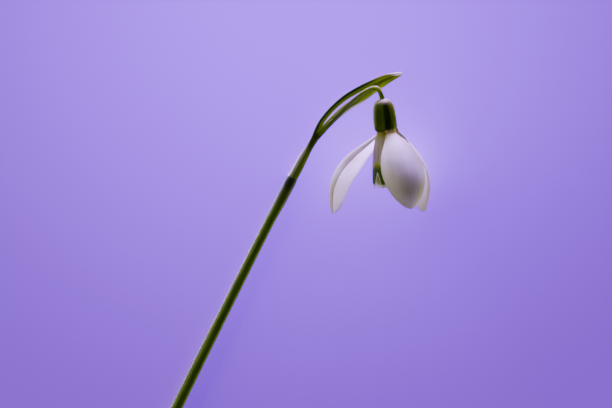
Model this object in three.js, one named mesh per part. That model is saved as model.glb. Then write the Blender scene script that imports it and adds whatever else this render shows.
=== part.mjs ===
// A cut snowdrop lying on a table: a flower stalk, the spathe at its top, and one nodding flower.
// Millimetres, +Z up. The table is the plane z = 0. The finished flower's origin is on the table, in the
// middle of its outline. The stalk runs roughly along +Y, and the flower hangs to the right of its top
// and opens towards -Y. It rests on the stalk and on the tip of its lowest outer tepal.
import * as THREE from 'three';
import { mergeVertices } from 'three/addons/utils/BufferGeometryUtils.js';

// ---------------------------------------------------------------- driving dimensions
// Places in plan are measured from the top of the scape, where the spathe grows from it.

// Scape: the leafless stalk. It lies on the table, so its centre is one radius above it.
const scape = {
  foot: [-46.2, -94.2],
  bend: [-24.5, -48.3],
  top: [0, 0],
  footRadius: 1.25,
  topRadius: 0.9,
  sides: 12,
  steps: 24,
};

// Spathe: the sheath and boat that grow from the top of the scape, given along its middle line.
// spread is half its width from left to right, depth is half its height above and below.
const spathe = {
  path: [
    [0.06, 0.1, 0.95],
    [1.1, 2.0, 1.15],
    [2.2, 4.1, 1.6],
    [3.3, 6.0, 2.3],
    [4.3, 7.6, 2.9],
    [5.4, 9.1, 3.6],
    [6.6, 10.6, 4.3],
    [8.4, 12.5, 5.3],
    [10.5, 14.2, 6.4],
    [12.8, 15.6, 7.6],
    [15.3, 17.0, 8.6],
    [17.8, 18.3, 9.3],
    [20.6, 19.3, 9.8],
  ],
  spread: [0.86, 0.84, 0.84, 0.86, 0.92, 1.1, 1.27, 1.38, 1.42, 1.4, 1.22, 0.92, 0.3],
  depth: [0.84, 0.8, 0.78, 0.78, 0.8, 0.84, 0.88, 0.9, 0.9, 0.86, 0.74, 0.5, 0.16],
  // How far the wall reaches round from the underside, in degrees: 180 and 180 is a closed sheath.
  roundLeft: [180, 180, 180, 180, 180, 160, 135, 122, 116, 114, 122, 150, 172],
  roundRight: [180, 180, 180, 180, 180, 88, 70, 66, 66, 72, 100, 150, 172],
  closedSteps: 4,
  wallShare: 0.22,
  sides: 18,
  substeps: 3,
};

// Pedicel: the thin stalk of the flower, through the sheath, out of the boat and over into the ovary.
const pedicel = {
  path: [
    [0.15, 0.25, 0.97],
    [2.3, 4.1, 1.62],
    [3.4, 5.9, 2.3],
    [4.45, 7.5, 3.0],
    [6.0, 8.95, 4.25],
    [7.55, 10.45, 5.2],
    [9.5, 12.4, 6.5],
    [12.6, 15.17, 8.6],
    [14.15, 16.13, 9.8],
    [15.2, 16.5, 10.6],
    [16.0, 16.38, 11.1],
    [16.48, 15.65, 11.3],
  ],
  footRadius: 0.34,
  topRadius: 0.44,
  sides: 10,
  steps: 44,
};

// Flower head: everything below hangs on one axis, from the throat under the ovary to the mouth.
// lean turns the mouth to the right, tilt lowers it. The ovary leans a little more than the petals.
const head = {
  throat: [17.6, 8.7],
  lean: 4,
  tilt: 8,
  ovaryLean: 3,
};

// Ovary: [radius, height above the throat], from the rim to the shallow dimple under the pedicel.
const ovary = {
  profile: [
    [0, 0],
    [1.92, 0],
    [2.12, 0.45],
    [2.16, 1.4],
    [2.14, 2.6],
    [2.02, 3.9],
    [1.76, 4.9],
    [1.4, 5.52],
    [0.92, 5.82],
    [0.5, 5.9],
    [0, 5.85],
  ],
  segments: 24,
};

// Outer tepals: the three big petals. spine is a Bezier curve of [distance from the axis, distance
// below the throat]. cup is half the angle of the cross-section's arc, twist turns it along the spine.
const outerTepals = {
  outer_tepal_left: {
    azimuth: 191.6,
    spine: [[1.95, 0.4], [5.2, 3.8], [12.0, 4.6], [11.1, 15.1]],
    width: 10.2,
    cup: 57,
    twist: [-14, -13],
    widestAt: 0.59,
    clawShare: 0.19,
    bluntness: 0.42,
  },
  outer_tepal_front: {
    azimuth: 68.8,
    spine: [[1.8, 0.4], [6.3, 2.3], [10.5, 7.5], [9.1, 13.7]],
    width: 9.6,
    cup: 54,
    twist: [-5, -2],
    widestAt: 0.56,
    clawShare: 0.36,
    bluntness: 0.53,
  },
  outer_tepal_back: {
    azimuth: -41.2,
    spine: [[1.8, 0.4], [5.7, 3.3], [12.0, 8.2], [8.6, 16.5]],
    width: 9.9,
    cup: 55,
    twist: [5, -19],
    widestAt: 0.57,
    clawShare: 0.2,
    bluntness: 0.48,
  },
};
const outerThickness = 0.26;

// Inner tepals: three short ones that make a tube, each notched at its end. A steady twist tucks one
// edge of each under its neighbour. notch and shoulder are shares of the length lost at the end.
const innerTepal = {
  azimuths: { inner_tepal_right: 20, inner_tepal_left: 140, inner_tepal_back: 260 },
  spine: [[1.45, 0.35], [2.3, 2.0], [2.7, 6.0], [2.85, 10.4]],
  width: 6.1,
  cup: 60,
  twist: [4, 5],
  widestAt: 0.7,
  clawShare: 0.38,
  bluntness: 0,
  notchDepth: 0.22,
  notchHalfWidth: 0.2,
  shoulderDepth: 0.2,
  thickness: 0.26,
};

// Stamens: six round the style, each a short filament and a pointed anther: [radius, length along it].
const stamen = {
  count: 6,
  profile: [
    [0, 0],
    [0.12, 0],
    [0.12, 1.1],
    [0.32, 1.5],
    [0.36, 2.3],
    [0.3, 3.9],
    [0.14, 5.6],
    [0.03, 6.4],
    [0, 6.4],
  ],
  footRadius: 0.72,
  footDepth: 0.3,
  splay: 3,
  segments: 8,
};

// Style: the slim pin in the middle, to the mouth of the tube: [radius, distance below the throat].
const style = {
  profile: [
    [0, 0.3],
    [0.16, 0.3],
    [0.2, 5.0],
    [0.22, 8.6],
    [0.16, 9.5],
    [0, 9.6],
  ],
  segments: 8,
};

// ---------------------------------------------------------------- materials

const finish = (color, roughness) => new THREE.MeshStandardMaterial({ color, roughness, metalness: 0 });
const greenStalk = finish('#4f5f1f', 0.45);
const greenSpathe = finish('#5c6a1c', 0.45);
const greenPedicel = finish('#5f5f22', 0.45);
const greenOvary = finish('#2a3404', 0.5);
const whitePetal = finish('#e6def2', 0.6);
const markedPetal = finish('#b9b49a', 0.6);
const orangeAnther = finish('#d08a2c', 0.7);
const creamStyle = finish('#e2e0b4', 0.6);

// ---------------------------------------------------------------- solids from rows of points

// The quad a, b, c, d as two triangles.
function quad(corners, a, b, c, d) {
  corners.push(a, b, c, a, c, d);
}

// A closed geometry from a flat list of triangle corners, with corners at one place shared.
function solid(corners) {
  const loose = new THREE.BufferGeometry().setFromPoints(corners);
  const geometry = mergeVertices(loose);
  geometry.computeVertexNormals();
  return geometry;
}

// A bar with a flat end at each side: each ring is a loop of points, right-handed about the way along.
function bar(rings) {
  const corners = [];
  const sides = rings[0].points.length;
  for (let i = 0; i + 1 < rings.length; i += 1) {
    const here = rings[i].points;
    const next = rings[i + 1].points;
    for (let j = 0; j < sides; j += 1) {
      const k = (j + 1) % sides;
      quad(corners, here[j], here[k], next[k], next[j]);
    }
  }
  const first = rings[0];
  const last = rings[rings.length - 1];
  for (let j = 0; j < sides; j += 1) {
    const k = (j + 1) % sides;
    corners.push(first.centre, first.points[k], first.points[j]);
    corners.push(last.centre, last.points[j], last.points[k]);
  }
  return solid(corners);
}

// A sheet with thickness: outer and inner are rows of points over each other. The first closedRows
// rows of quads go right round, so their two edges meet and need no wall between them.
function shell(outer, inner, closedRows = 0) {
  const corners = [];
  const rows = outer.length - 1;
  const columns = outer[0].length - 1;
  for (let i = 0; i < rows; i += 1) {
    for (let j = 0; j < columns; j += 1) {
      quad(corners, outer[i][j], outer[i][j + 1], outer[i + 1][j + 1], outer[i + 1][j]);
      quad(corners, inner[i + 1][j], inner[i + 1][j + 1], inner[i][j + 1], inner[i][j]);
    }
  }
  for (let j = 0; j < columns; j += 1) {
    quad(corners, outer[0][j + 1], outer[0][j], inner[0][j], inner[0][j + 1]);
    quad(corners, outer[rows][j], outer[rows][j + 1], inner[rows][j + 1], inner[rows][j]);
  }
  for (let i = closedRows; i < rows; i += 1) {
    quad(corners, outer[i][0], outer[i + 1][0], inner[i + 1][0], inner[i][0]);
    quad(corners, outer[i + 1][columns], outer[i][columns], inner[i][columns], inner[i + 1][columns]);
  }
  return solid(corners);
}

// The directions across a line that is never upright: to its right, and up.
function acrossFrame(tangent) {
  const right = new THREE.Vector3().crossVectors(tangent, new THREE.Vector3(0, 0, 1)).normalize();
  const up = new THREE.Vector3().crossVectors(right, tangent).normalize();
  return { right, up };
}

// A round bar along a curve, whose radius may change from start to end.
function roundBar(curve, radiusAt, sides, steps) {
  const rings = [];
  for (let i = 0; i <= steps; i += 1) {
    const t = i / steps;
    const centre = curve.getPointAt(t);
    const { right, up } = acrossFrame(curve.getTangentAt(t));
    const points = [];
    for (let j = 0; j < sides; j += 1) {
      const angle = (2 * Math.PI * j) / sides;
      const point = centre.clone();
      point.addScaledVector(up, radiusAt(t) * Math.cos(angle));
      point.addScaledVector(right, radiusAt(t) * Math.sin(angle));
      points.push(point);
    }
    rings.push({ centre, points });
  }
  return bar(rings);
}

// A turned solid round +Z from [radius, z] pairs that start and end on the axis.
function turned(profile, segments) {
  const outline = profile.map(([radius, z]) => new THREE.Vector2(radius, z));
  const geometry = new THREE.LatheGeometry(outline, segments);
  geometry.rotateX(Math.PI / 2);
  geometry.deleteAttribute('normal');
  geometry.deleteAttribute('uv');
  return geometry;
}

// ---------------------------------------------------------------- stalks and spathe

const toVectors = (points) => points.map((p) => new THREE.Vector3(...p));
const mix = THREE.MathUtils.lerp;
const radians = THREE.MathUtils.degToRad;

function scapeGeometry() {
  const foot = new THREE.Vector3(...scape.foot, scape.footRadius);
  const top = new THREE.Vector3(...scape.top, scape.topRadius);
  const bend = new THREE.Vector3(...scape.bend, mix(scape.footRadius, scape.topRadius, 0.5));
  const curve = new THREE.QuadraticBezierCurve3(foot, bend, top);
  const radiusAt = (t) => mix(scape.footRadius, scape.topRadius, t);
  return roundBar(curve, radiusAt, scape.sides, scape.steps);
}

// The value at t, from 0 to 1, of evenly spaced samples joined by straight lines.
function sampled(samples, t) {
  const place = t * (samples.length - 1);
  const index = Math.min(Math.floor(place), samples.length - 2);
  return mix(samples[index], samples[index + 1], place - index);
}

function spatheGeometry() {
  const curve = new THREE.CatmullRomCurve3(toVectors(spathe.path));
  const rows = (spathe.path.length - 1) * spathe.substeps;
  const outer = [];
  const inner = [];
  for (let i = 0; i <= rows; i += 1) {
    const t = i / rows;
    const { right, up } = acrossFrame(curve.getTangent(t));
    const spread = sampled(spathe.spread, t);
    const depth = sampled(spathe.depth, t);
    const left = radians(sampled(spathe.roundLeft, t));
    const rightHand = radians(sampled(spathe.roundRight, t));
    const outerRow = [];
    const innerRow = [];
    for (let j = 0; j <= spathe.sides; j += 1) {
      const angle = mix(-rightHand, left, j / spathe.sides);
      const offset = new THREE.Vector3();
      offset.addScaledVector(right, -spread * Math.sin(angle));
      offset.addScaledVector(up, -depth * Math.cos(angle));
      outerRow.push(curve.getPoint(t).add(offset));
      innerRow.push(curve.getPoint(t).addScaledVector(offset, 1 - spathe.wallShare));
    }
    outer.push(outerRow);
    inner.push(innerRow);
  }
  return shell(outer, inner, spathe.closedSteps * spathe.substeps);
}

// ---------------------------------------------------------------- tepals

// The share of the full width at t along a tepal: a narrow claw, the widest place, a round end.
function widthShare(shape, t) {
  if (t < shape.widestAt) {
    const rise = Math.sin(((t / shape.widestAt) * Math.PI) / 2);
    return mix(shape.clawShare, 1, rise);
  }
  const beyond = (t - shape.widestAt) / (1 - shape.widestAt);
  return Math.max(1 - beyond * beyond, 0.004) ** shape.bluntness;
}

// The end of the tepal at v, from -1 at one edge to 1 at the other, as a share of its length.
function endShare(shape, v) {
  const side = Math.abs(v);
  const notch = Math.max(0, 1 - (side / shape.notchHalfWidth) ** 1.3);
  return 1 - shape.notchDepth * notch - shape.shoulderDepth * side ** 5;
}

// A tepal that hangs along +Z from the throat, with its back towards +X.
function tepalGeometry(shape, thickness, stations, columns, endAt) {
  const spine = new THREE.CubicBezierCurve(...shape.spine.map((p) => new THREE.Vector2(...p)));
  const cup = radians(shape.cup);
  const outer = [];
  const inner = [];
  for (const station of stations) {
    const outerRow = [];
    const innerRow = [];
    for (const v of columns) {
      const t = station * endAt(v);
      const middle = spine.getPoint(t);
      const slope = spine.getTangent(t);
      const along = new THREE.Vector3(slope.x, 0, slope.y);
      const twist = radians(mix(shape.twist[0], shape.twist[1], t));
      const back = new THREE.Vector3(slope.y, 0, -slope.x).applyAxisAngle(along, -twist);
      const side = new THREE.Vector3(0, 1, 0).applyAxisAngle(along, -twist);
      const arcRadius = (shape.width * widthShare(shape, t)) / 2 / cup;
      const normal = back.clone().multiplyScalar(Math.cos(v * cup));
      normal.addScaledVector(side, Math.sin(v * cup));
      const point = new THREE.Vector3(middle.x, 0, middle.y);
      point.addScaledVector(back, -arcRadius);
      point.addScaledVector(normal, arcRadius);
      outerRow.push(point.clone().addScaledVector(normal, thickness / 2));
      innerRow.push(point.clone().addScaledVector(normal, -thickness / 2));
    }
    outer.push(outerRow);
    inner.push(innerRow);
  }
  return shell(outer, inner);
}

const outerStations = [0, 0.08, 0.17, 0.27, 0.38, 0.49, 0.6, 0.7, 0.79, 0.87, 0.93, 0.97, 0.99, 1];
const outerColumns = [-1, -0.75, -0.5, -0.25, 0, 0.25, 0.5, 0.75, 1];
const innerStations = [0, 0.12, 0.25, 0.4, 0.55, 0.7, 0.85, 0.93, 1];
const innerColumns = [-1, -0.85, -0.65, -0.4, -0.2, -0.12, -0.05, 0, 0.05, 0.12, 0.2, 0.4, 0.65, 0.85, 1];

// ---------------------------------------------------------------- the flower head

function named(name, geometry, material) {
  const mesh = new THREE.Mesh(geometry, material);
  mesh.name = name;
  return mesh;
}

function flowerHead() {
  const group = new THREE.Group();
  const above = ovary.profile.map(([radius, height]) => [radius, -height]).reverse();
  const capsule = named('ovary', turned(above, ovary.segments), greenOvary);
  capsule.rotation.y = radians(head.ovaryLean);
  group.add(capsule);

  for (const [name, shape] of Object.entries(outerTepals)) {
    const geometry = tepalGeometry(shape, outerThickness, outerStations, outerColumns, () => 1);
    const tepal = named(name, geometry, whitePetal);
    tepal.rotation.z = radians(shape.azimuth);
    group.add(tepal);
  }

  for (const [name, azimuth] of Object.entries(innerTepal.azimuths)) {
    const endAt = (v) => endShare(innerTepal, v);
    const geometry = tepalGeometry(innerTepal, innerTepal.thickness, innerStations, innerColumns, endAt);
    const tepal = named(name, geometry, markedPetal);
    tepal.rotation.z = radians(azimuth);
    group.add(tepal);
  }

  for (let i = 0; i < stamen.count; i += 1) {
    const spoke = new THREE.Group();
    spoke.rotation.z = (2 * Math.PI * i) / stamen.count;
    const mesh = named(`stamen_${i + 1}`, turned(stamen.profile, stamen.segments), orangeAnther);
    mesh.position.set(stamen.footRadius, 0, stamen.footDepth);
    mesh.rotation.y = radians(stamen.splay);
    spoke.add(mesh);
    group.add(spoke);
  }

  group.add(named('style', turned(style.profile, style.segments), creamStyle));

  const lean = radians(head.lean);
  const tilt = radians(head.tilt);
  const forward = Math.cos(tilt);
  const axis = new THREE.Vector3(Math.sin(lean) * forward, -Math.cos(lean) * forward, -Math.sin(tilt));
  const right = new THREE.Vector3(1, 0, 0).addScaledVector(axis, -axis.x).normalize();
  const up = new THREE.Vector3().crossVectors(axis, right);
  group.quaternion.setFromRotationMatrix(new THREE.Matrix4().makeBasis(right, up, axis));
  group.position.set(...head.throat, 0);
  return group;
}

// ---------------------------------------------------------------- the whole flower

const flower = new THREE.Group();

// The head is lowered or raised until its lowest tepal touches the table.
const hanging = flowerHead();
hanging.updateMatrixWorld(true);
hanging.position.z = -new THREE.Box3().setFromObject(hanging, true).min.z;
hanging.updateMatrixWorld(true);
flower.add(hanging);

flower.add(named('scape', scapeGeometry(), greenStalk));
flower.add(named('spathe', spatheGeometry(), greenSpathe));

// The pedicel's last point is 0.1 mm above the ovary, on the ovary's own axis.
const ovaryHeight = Math.max(...ovary.profile.map(([, height]) => height));
const capsule = hanging.getObjectByName('ovary');
const pedicelEnd = capsule.localToWorld(new THREE.Vector3(0, 0, -ovaryHeight - 0.1));
const pedicelCurve = new THREE.CatmullRomCurve3([...toVectors(pedicel.path), pedicelEnd]);
const pedicelRadius = (t) => mix(pedicel.footRadius, pedicel.topRadius, t);
const pedicelGeometry = roundBar(pedicelCurve, pedicelRadius, pedicel.sides, pedicel.steps);
flower.add(named('pedicel', pedicelGeometry, greenPedicel));

// The middle of the outline goes to the origin, and the lowest point to the table.
const outline = new THREE.Box3().setFromObject(flower, true);
const middle = outline.getCenter(new THREE.Vector3());
flower.position.set(-middle.x, -middle.y, -outline.min.z);

export default flower;
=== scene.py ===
import math

import bmesh
import bpy
from mathutils import Matrix, Vector, noise


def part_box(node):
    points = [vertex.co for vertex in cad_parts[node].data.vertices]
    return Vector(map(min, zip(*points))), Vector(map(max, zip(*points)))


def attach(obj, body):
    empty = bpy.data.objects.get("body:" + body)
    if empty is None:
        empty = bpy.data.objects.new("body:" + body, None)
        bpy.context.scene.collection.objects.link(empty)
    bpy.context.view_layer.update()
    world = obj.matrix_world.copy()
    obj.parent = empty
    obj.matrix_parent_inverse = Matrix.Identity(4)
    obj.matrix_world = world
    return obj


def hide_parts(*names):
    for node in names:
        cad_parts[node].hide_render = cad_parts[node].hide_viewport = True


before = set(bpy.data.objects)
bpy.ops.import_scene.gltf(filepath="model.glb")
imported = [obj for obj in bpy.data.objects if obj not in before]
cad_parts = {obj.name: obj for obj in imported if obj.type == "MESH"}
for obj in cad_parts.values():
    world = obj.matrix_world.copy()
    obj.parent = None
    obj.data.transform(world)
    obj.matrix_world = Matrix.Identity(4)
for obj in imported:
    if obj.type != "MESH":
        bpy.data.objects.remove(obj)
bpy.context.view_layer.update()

# One cut snowdrop lying on a pale table, seen from straight above.
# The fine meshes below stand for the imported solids. Lengths are in mm until a mesh is made.
mm = 0.001
print("frame loaded:", len(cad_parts), "nodes")

# The throat is the ring where the petals leave the seed capsule. In the head's own frame
# Z runs from the throat out of the mouth, X to the right and Y up from the table.
hang = {
    "lean": 4,  # degrees to the right of straight along -Y
    "tilt": 8,  # degrees down towards the table
    "styleMiddle": 4.95,  # from the throat to the middle of the style
    "throat": (17.6, 8.7),  # from the top of the stalk to the throat, seen from above
}


def headPlace():
    lean = math.radians(hang["lean"])
    tilt = math.radians(hang["tilt"])
    axis = Vector((math.sin(lean) * math.cos(tilt), -math.cos(lean) * math.cos(tilt), -math.sin(tilt)))
    right = (Vector((1, 0, 0)) - axis * axis.x).normalized()
    up = axis.cross(right)
    low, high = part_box("style")
    throat = (low + high) / 2 - axis * hang["styleMiddle"] * mm
    turn = Matrix((right, up, axis)).transposed()
    return Matrix.Translation(throat) @ turn.to_4x4()


head = headPlace()
# every path below is measured from the top of the stalk, at table height
stalkTop = head.translation - Vector((*hang["throat"], 0)) * mm
stalkTop.z = 0
stalkPlace = Matrix.Translation(stalkTop)


# small maths

def mix(a, b, share):
    return a + (b - a) * share


def ease(low, high, x):
    # 0 below low, 1 above high, smooth in between
    share = min(max((x - low) / (high - low), 0), 1)
    return share * share * (3 - 2 * share)


def bump(middle, reach, x):
    # 1 at the middle, fading out over the reach
    return math.exp(-(((x - middle) / reach) ** 2))


def upAndDown(ends, x):
    # rises between the first two ends and falls between the last two
    return ease(ends[0], ends[1], x) * (1 - ease(ends[2], ends[3], x))


def uneven(x, y, z):
    # smooth noise, about -0.5 to 0.5
    return noise.noise(Vector((x, y, z)))


def turnsRound(count):
    return [2 * math.pi * j / count for j in range(count)]


def throughPoints(points, steps):
    # A smooth curve through rows of numbers. The first three of a row are its place,
    # the others are sizes that change along with it.
    rows = [[2 * a - b for a, b in zip(points[0], points[1])]]
    rows += [list(p) for p in points]
    rows += [[2 * a - b for a, b in zip(points[-1], points[-2])]]
    gaps = [math.dist(a[:3], b[:3]) ** 0.5 for a, b in zip(rows, rows[1:])]
    curve = []
    for i in range(1, len(rows) - 2):
        before, here, after = gaps[i - 1], gaps[i], gaps[i + 1]
        for step in range(steps):
            t = step / steps
            row = []
            for w, x, y, z in zip(rows[i - 1], rows[i], rows[i + 1], rows[i + 2]):
                leave = ((x - w) / before - (y - w) / (before + here) + (y - x) / here) * here
                arrive = ((y - x) / here - (z - x) / (here + after) + (z - y) / after) * here
                cubic = 2 * x - 2 * y + leave + arrive
                square = 3 * y - 3 * x - 2 * leave - arrive
                row.append(x + leave * t + square * t * t + cubic * t ** 3)
            curve.append(row)
    curve.append(list(points[-1]))
    return curve


def pathFrames(places):
    # (place, to the right of the way it runs, up) for each place on a path
    frames = []
    for i, place in enumerate(places):
        ahead = (places[min(i + 1, len(places) - 1)] - places[max(i - 1, 0)]).normalized()
        right = ahead.cross(Vector((0, 0, 1))).normalized()
        frames.append((place, right, right.cross(ahead)))
    return frames


# meshes

def addFace(mesh, corners, uvs, slot=0):
    layer = mesh.loops.layers.uv.verify()
    face = mesh.faces.new(corners)
    face.material_index = slot
    for loop, uv in zip(face.loops, uvs):
        loop[layer].uv = uv


def addSkin(mesh, rings, uvAt, wrap=True, slot=0, flip=False):
    # quads between rings of points; uvAt(i, j) gives (across, along) for a corner
    rows = [[mesh.verts.new(Vector(point) * mm) for point in ring] for ring in rings]
    count = len(rings[0])
    for i in range(len(rows) - 1):
        for j in range(count if wrap else count - 1):
            corners = [(i, j), (i, j + 1), (i + 1, j + 1), (i + 1, j)]
            if flip:
                corners.reverse()
            addFace(mesh, [rows[a][b % count] for a, b in corners], [uvAt(a, b) for a, b in corners], slot)
    return rows


def addCap(mesh, ring, middle, uv, slot=0):
    # closes a ring with a fan to one middle point
    centre = mesh.verts.new(Vector(middle) * mm)
    for j, vertex in enumerate(ring):
        addFace(mesh, [vertex, ring[(j + 1) % len(ring)], centre], [uv] * 3, slot)


def addTube(mesh, rings, start, end):
    # a closed tube through rings of points, with a middle point for each end
    sides = len(rings[0])
    last = len(rings) - 1
    skin = addSkin(mesh, rings, lambda i, j: (j / sides, i / last))
    addCap(mesh, skin[0], start, (0.5, 0))
    addCap(mesh, skin[-1], end, (0.5, 1))


def addRim(mesh, front, back, uvs, slot=0):
    # a strip between the matching borders of two sheets
    for j in range(len(front) - 1):
        corners = [front[j], back[j], back[j + 1], front[j + 1]]
        addFace(mesh, corners, [uvs[j], uvs[j], uvs[j + 1], uvs[j + 1]], slot)


def addLeafBlade(mesh, front, back, uvAt, slots=(0, 0, 0)):
    # a thin closed body from two sheets of points and the rim round them
    top = addSkin(mesh, front, uvAt, wrap=False, slot=slots[0])
    under = addSkin(mesh, back, uvAt, wrap=False, slot=slots[1], flip=True)
    last = len(front) - 1
    width = len(front[0]) - 1
    footUvs = [uvAt(0, j) for j in range(width + 1)]
    endUvs = [uvAt(last, width - j) for j in range(width + 1)]
    leftUvs = [uvAt(last - i, 0) for i in range(last + 1)]
    rightUvs = [uvAt(i, width) for i in range(last + 1)]
    addRim(mesh, top[0], under[0], footUvs, slots[2])
    addRim(mesh, top[-1][::-1], under[-1][::-1], endUvs, slots[2])
    addRim(mesh, [r[0] for r in top][::-1], [r[0] for r in under][::-1], leftUvs, slots[2])
    addRim(mesh, [r[-1] for r in top], [r[-1] for r in under], rightUvs, slots[2])
    return top, under


def startShares(mesh, names):
    # numbers that a material can read; they have to be there before the first vertex
    for name in names:
        mesh.verts.layers.float.new(name)


def storeShares(mesh, names, sheet, rows):
    for vertexRow, row in zip(sheet, rows):
        for vertex, shares in zip(vertexRow, row):
            for name, share in zip(names, shares):
                vertex[mesh.verts.layers.float[name]] = share


def makePiece(name, mesh, materials, place, nodes):
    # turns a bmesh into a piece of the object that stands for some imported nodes
    bmesh.ops.recalc_face_normals(mesh, faces=mesh.faces)
    for face in mesh.faces:
        face.smooth = True
    mesh.transform(place)
    data = bpy.data.meshes.new(name)
    mesh.to_mesh(data)
    mesh.free()
    for material in materials:
        data.materials.append(material)
    piece = bpy.data.objects.new(name, data)
    bpy.context.scene.collection.objects.link(piece)
    smooth = piece.modifiers.new("smooth", "SUBSURF")
    smooth.levels = 1
    smooth.render_levels = 1
    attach(piece, "root")
    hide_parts(*nodes)


# node helpers

def plug(tree, socket, value):
    if isinstance(value, bpy.types.NodeSocket):
        tree.links.new(value, socket)
    elif isinstance(value, tuple) and len(value) == 3 and socket.type == "RGBA":
        socket.default_value = (*value, 1)
    else:
        socket.default_value = value


def addNode(tree, kind, inputs, **settings):
    made = tree.nodes.new("ShaderNode" + kind)
    for key, value in settings.items():
        setattr(made, key, value)
    for key, value in inputs.items():
        plug(tree, made.inputs[key], value)
    return made


def calc(tree, operation, a, b=0.0):
    return addNode(tree, "Math", {0: a, 1: b}, operation=operation).outputs[0]


def times(tree, a, b):
    return calc(tree, "MULTIPLY", a, b)


def plus(tree, a, b):
    return calc(tree, "ADD", a, b)


def gap(tree, a, b):
    # how far apart two numbers are
    return calc(tree, "ABSOLUTE", calc(tree, "SUBTRACT", a, b))


def easeNode(tree, low, high, x):
    inputs = {"Value": x, "From Min": low, "From Max": high}
    return addNode(tree, "MapRange", inputs, interpolation_type="SMOOTHSTEP").outputs[0]


def blendColour(tree, share, a, b):
    return addNode(tree, "MixRGB", {"Fac": share, "Color1": a, "Color2": b}).outputs[0]


def ramp(tree, value, stops):
    # stops are (position, colour)
    made = addNode(tree, "ValToRGB", {"Fac": value})
    elements = made.color_ramp.elements
    while len(elements) < len(stops):
        elements.new(0.5)
    for element, (position, colour) in zip(elements, stops):
        element.position = position
        element.color = (*colour, 1)
    return made.outputs[0]


def surfacePlaces(tree):
    # (UV vector, across, along) of the piece
    uv = addNode(tree, "UVMap", {}).outputs[0]
    parts = addNode(tree, "SeparateXYZ", {0: uv})
    return uv, parts.outputs[0], parts.outputs[1]


def storedShare(tree, name):
    return addNode(tree, "Attribute", {}, attribute_name=name).outputs["Fac"]


def stretchedNoise(tree, vector, scale, detail=3.0, harsh=0.55):
    # noise drawn out by a scale for each direction; gives 0..1
    moved = addNode(tree, "Mapping", {"Vector": vector, "Scale": scale}).outputs[0]
    inputs = {"Vector": moved, "Scale": 1.0, "Detail": detail, "Roughness": harsh}
    return addNode(tree, "TexNoise", inputs).outputs[0]


def grain(tree, scale):
    # even noise, scale is in grains to the metre
    where = addNode(tree, "TexCoord", {}).outputs["Object"]
    return addNode(tree, "TexNoise", {"Vector": where, "Scale": scale, "Detail": 2.0}).outputs[0]


def bumpNode(tree, height, strength, depth):
    inputs = {"Height": height, "Strength": strength, "Distance": depth * mm}
    return addNode(tree, "Bump", inputs).outputs[0]


def startMaterial(name):
    material = bpy.data.materials.new(name)
    material.use_nodes = True
    material.node_tree.nodes.clear()
    return material, material.node_tree


def endMaterial(tree, shader):
    output = tree.nodes.new("ShaderNodeOutputMaterial")
    tree.links.new(shader, output.inputs["Surface"])


# green skin, shared by the stalk, the inner stalk and the seed capsule

greenTissue = {
    "streakSteps": (0.32, 0.5, 0.7),  # where the dark, middle and light tone sit in the streaks
    "sideCore": 0.3,  # a painted side stripe of light and shade is full up to this share of its reach
    "topCore": 0.6,  # and up to this share of the way to its top
    "sideStreaks": (0.25, 0.55),
    "frostGrains": (0.3, 0.62),
    "grainShare": 0.4,  # of the grain in the bumps
    "roughSwing": 0.25,
    "bumpStrength": 0.6,
    "scatter": (0.9, 1.0, 0.12),
}


def sideLightAndShade(tree, across, along, streak, middle, reach, top):
    # how strong a painted stripe of light and shade is, that lies round the piece at middle and is gone by
    # top
    tissue = greenTissue
    core = reach * tissue["sideCore"]
    away = plus(tree, gap(tree, across, middle), times(tree, along, core))
    share = easeNode(tree, reach, core, away)
    share = times(tree, share, easeNode(tree, top, top * tissue["topCore"], along))
    return times(tree, share, easeNode(tree, *tissue["sideStreaks"], streak))


def greenSkin(name, look):
    tissue = greenTissue
    material, tree = startMaterial(name)
    uv, across, along = surfacePlaces(tree)
    streak = stretchedNoise(tree, uv, look["streakScale"])
    cloud = stretchedNoise(tree, uv, look["cloudScale"], detail=2.0)
    tones = (look["dark"], look["middle"], look["light"])
    colour = ramp(tree, streak, list(zip(tissue["streakSteps"], tones)))
    colour = blendColour(tree, times(tree, cloud, look["cloudShare"]), colour, look["cloudColour"])
    # painted light and shade in stripes round the piece
    for middle, reach, top, tint in look.get("sides", []):
        share = sideLightAndShade(tree, across, along, streak, middle, reach, top)
        colour = blendColour(tree, share, colour, tint)
    for low, high, tint in look["bands"]:  # the skin changes tint from low to high along the piece
        colour = blendColour(tree, easeNode(tree, low, high, along), colour, tint)
    fine = grain(tree, look["grain"])
    # a pale grey over the upper end: partly a bloom, partly painted highlight
    if "bloomAndHighlight" in look:
        bloomAndHighlight = easeNode(tree, *look["frostEdge"], along)
        bloomAndHighlight = times(tree, bloomAndHighlight, easeNode(tree, *tissue["frostGrains"], fine))
        colour = blendColour(tree, times(tree, bloomAndHighlight, look["bloomAndHighlight"]), colour, look["frostColour"])
    height = plus(tree, streak, times(tree, fine, tissue["grainShare"]))
    shader = addNode(tree, "BsdfPrincipled", {
        "Base Color": colour,
        "Roughness": plus(tree, look["roughness"], times(tree, cloud, tissue["roughSwing"])),
        "Specular IOR Level": look["gloss"],
        "Subsurface Weight": look["glow"],
        "Subsurface Radius": tissue["scatter"],
        "Subsurface Scale": look["glowReach"] * mm,
        "Normal": bumpNode(tree, height, tissue["bumpStrength"], look["bumpDepth"]),
    })
    endMaterial(tree, shader.outputs[0])
    return material


# stalk

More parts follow.
